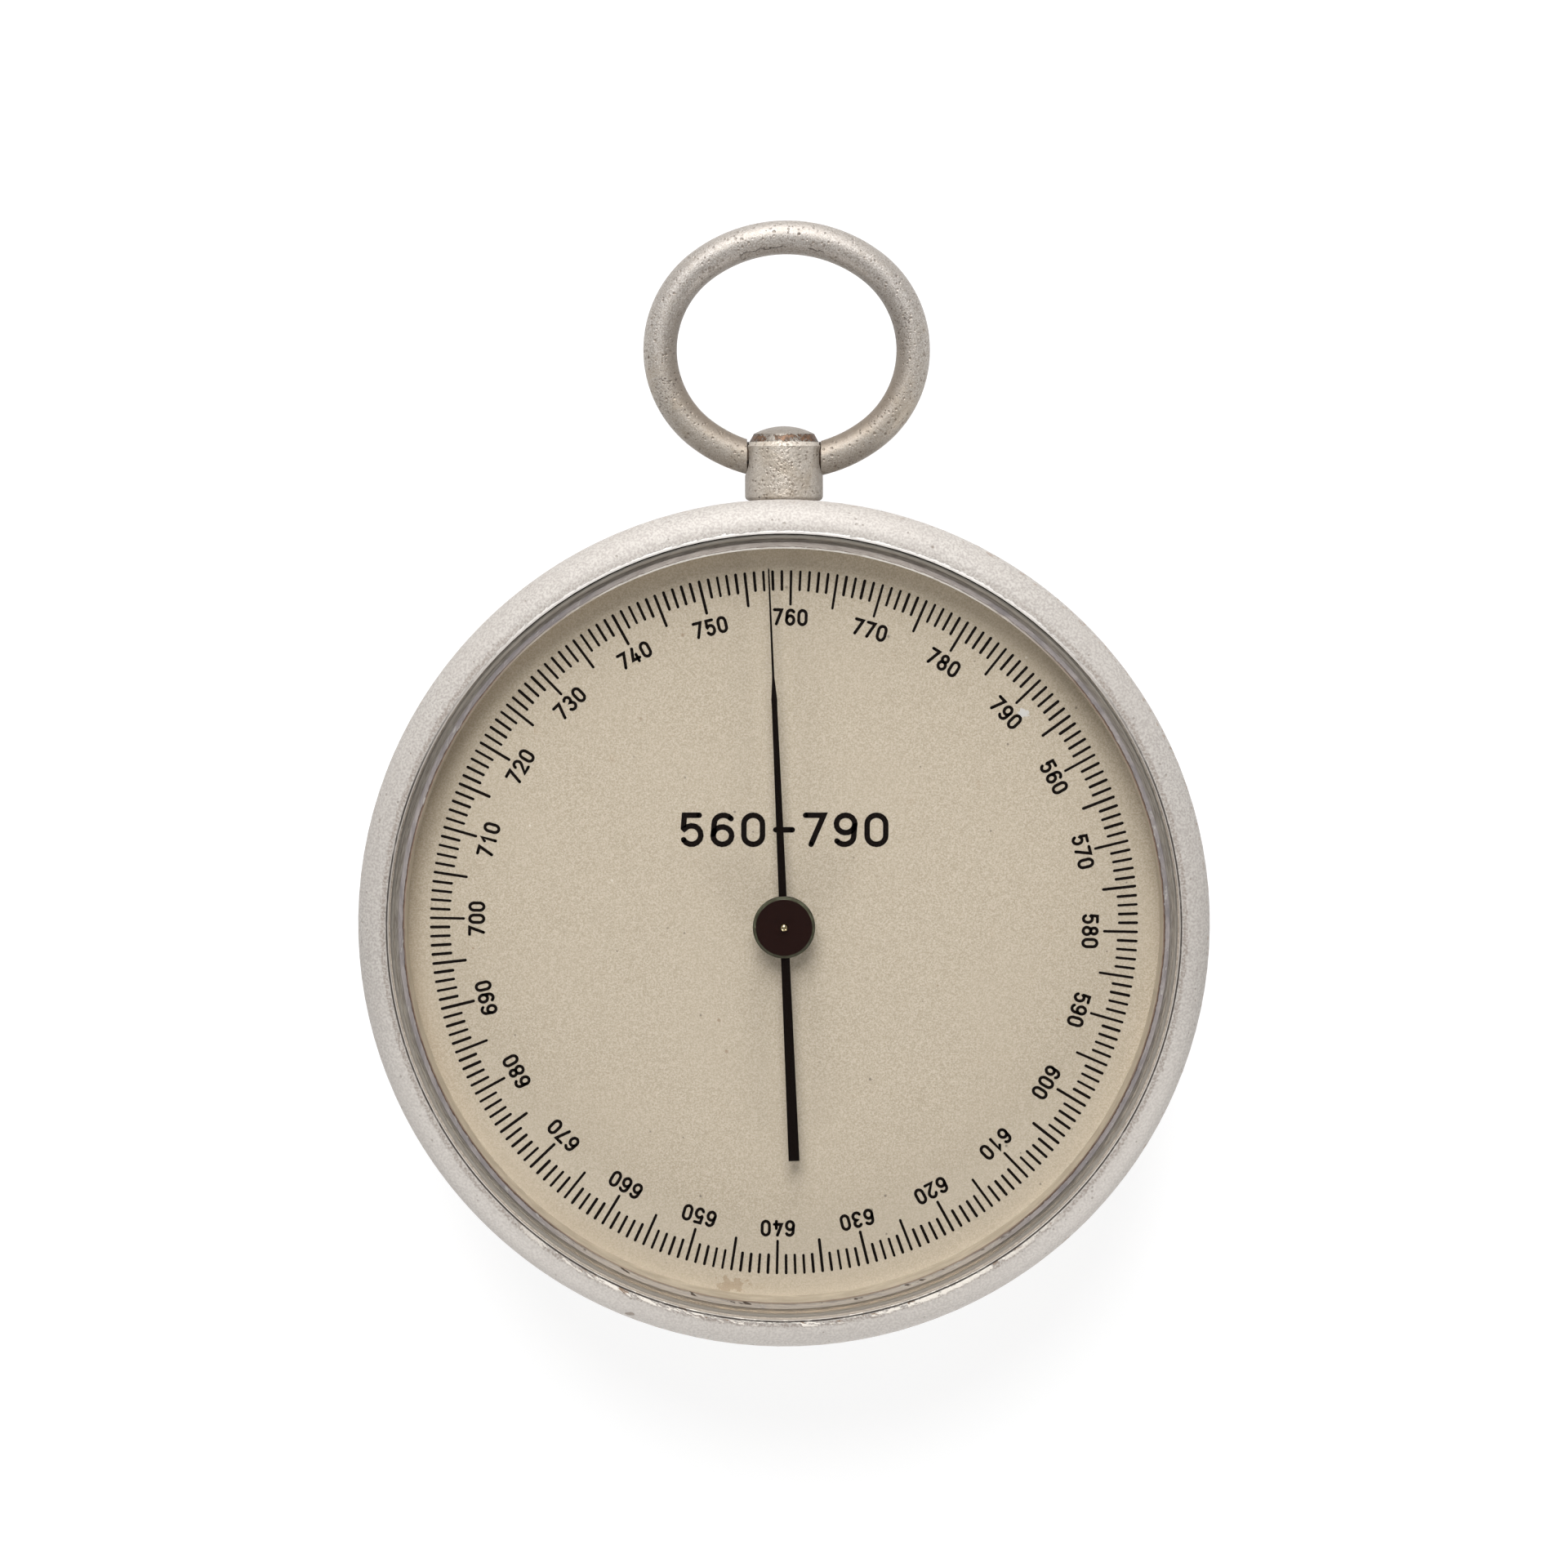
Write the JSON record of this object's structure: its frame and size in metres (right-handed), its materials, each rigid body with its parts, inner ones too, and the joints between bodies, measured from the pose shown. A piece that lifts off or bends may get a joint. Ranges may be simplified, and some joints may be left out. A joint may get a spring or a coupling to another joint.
{
  "type": "pocket_barometer",
  "caption": "Pocket barometer: round painted metal case with an oval hanging bow, flat glass over a beige dial, one dark pointer, and an aneroid capsule movement with levers and gears inside",
  "frame": {"origin": "on the pointer's axis, at the back face of the case", "axes": "+X to the right of the dial, +Y towards the bow (the top of the scale), +Z out through the glass"},
  "size_m": [0.08, 0.1064, 0.0236],
  "materials": {
    "case_paint": "silver-grey paint, finely pitted, worn at the edges",
    "bezel_paint": "silver-grey paint, finely pitted, chipped along its inner edge",
    "crystal_glass": "clear and flat",
    "ring_metal": "grey-lilac, with a brown worn inner edge",
    "dial_face": "matte warm beige with a fine grain",
    "movement_brass": "plain turned and milled",
    "movement_steel": "fine turned",
    "capsule_metal": "pressed sheet, satin",
    "spring_steel": "blued",
    "pointer_enamel": "very dark brown, worn on the hub's chamfer",
    "bow_metal": "satin nickel silver with brown tarnish, pitted"
  },
  "bodies": {
    "case": {"case_body": "case_paint", "bezel": "bezel_paint", "crystal": "crystal_glass", "dial_ring": "ring_metal", "dial_plate": "dial_face", "dial_feet": "movement_brass", "dial_pillars": "movement_brass", "dial_foot_screws": "movement_steel", "base_plate": "movement_brass", "base_screws": "movement_steel", "bridge_plate": "movement_brass", "bridge_pillars": "movement_brass", "bridge_screws": "movement_steel", "arbor_bushes": "movement_brass", "sector_bushes": "movement_brass", "left_bracket": "movement_brass", "right_bracket": "movement_brass", "bracket_screws": "movement_steel", "pivot_screw": "movement_steel", "adjuster_bush": "movement_brass", "capsule_foot": "movement_brass", "lower_capsule_bottom": "capsule_metal", "lower_capsule_top": "capsule_metal", "upper_capsule_bottom": "capsule_metal", "upper_capsule_top": "capsule_metal", "hairspring": "spring_steel", "hairspring_stud": "movement_brass", "pendant": "bow_metal", "pendant_washer": "bow_metal", "pendant_nut": "bow_metal"},
    "adjuster": {"adjusting_screw": "movement_steel"},
    "capsule_waist": {"capsule_link": "movement_brass"},
    "lifter": {"lifting_post": "movement_brass", "lifting_pin": "movement_steel"},
    "rocker": {"rocking_shaft": "movement_steel", "short_arm": "movement_brass", "short_arm_screw": "movement_steel", "drive_arm": "movement_brass"},
    "sector": {"sector_gear": "movement_brass", "sector_collet": "movement_brass", "sector_arbor": "movement_steel"},
    "pointer_assembly": {"pinion": "movement_steel", "hairspring_collet": "movement_brass", "pointer_arbor": "movement_steel", "pointer": "pointer_enamel", "pointer_hub": "pointer_enamel"},
    "bow": {"bow": "bow_metal"}
  },
  "joints": [
    {"name": "sector_swing", "type": "hinge", "parent": "case", "child": "sector", "pos_m": [0.01263, -0.0131, 0.01585], "axis": [0, 0, 1], "range_deg": [-24.6, 4.6], "stiffness_Nm_per_rad": 0.0001},
    {"name": "pointer_turn", "type": "hinge", "parent": "case", "child": "pointer_assembly", "pos_m": [0, 0, 0.0211], "axis": [0, 0, 1], "range_deg": [-55.3, 295.3], "deforming": ["hairspring"]},
    {"name": "rockshaft_turn", "type": "hinge", "parent": "case", "child": "rocker", "pos_m": [0, -0.0131, 0.01315], "axis": [1, 0, 0], "range_deg": [-16.5, 3.2]},
    {"name": "capsule_travel", "type": "slide", "parent": "case", "child": "lifter", "axis": [0, 0, 1], "range_m": [-0.00016, 0.00084], "deforming": ["lower_capsule_bottom", "lower_capsule_top", "upper_capsule_bottom", "upper_capsule_top"]},
    {"name": "waist_travel", "type": "slide", "parent": "case", "child": "capsule_waist", "axis": [0, 0, 1], "range_m": [-0.00008, 0.00042]},
    {"name": "adjuster_turn", "type": "hinge", "parent": "case", "child": "adjuster", "pos_m": [-0.008, -0.016, 0.0015], "axis": [0, 0, 1], "range_deg": [-180, 180]},
    {"name": "bow_swing", "type": "hinge", "parent": "case", "child": "bow", "pos_m": [0, 0.044, 0.0124], "axis": [1, 0, 0], "range_deg": [-105, 105]}
  ],
  "couplings": [
    {"joint": "pointer_turn", "follows": "sector_swing", "ratio": -12},
    {"joint": "rockshaft_turn", "follows": "sector_swing", "ratio": 0.66667},
    {"joint": "capsule_travel", "follows": "sector_swing", "m_per_rad": -0.0019333},
    {"joint": "waist_travel", "follows": "sector_swing", "m_per_rad": -0.00096667}
  ]
}
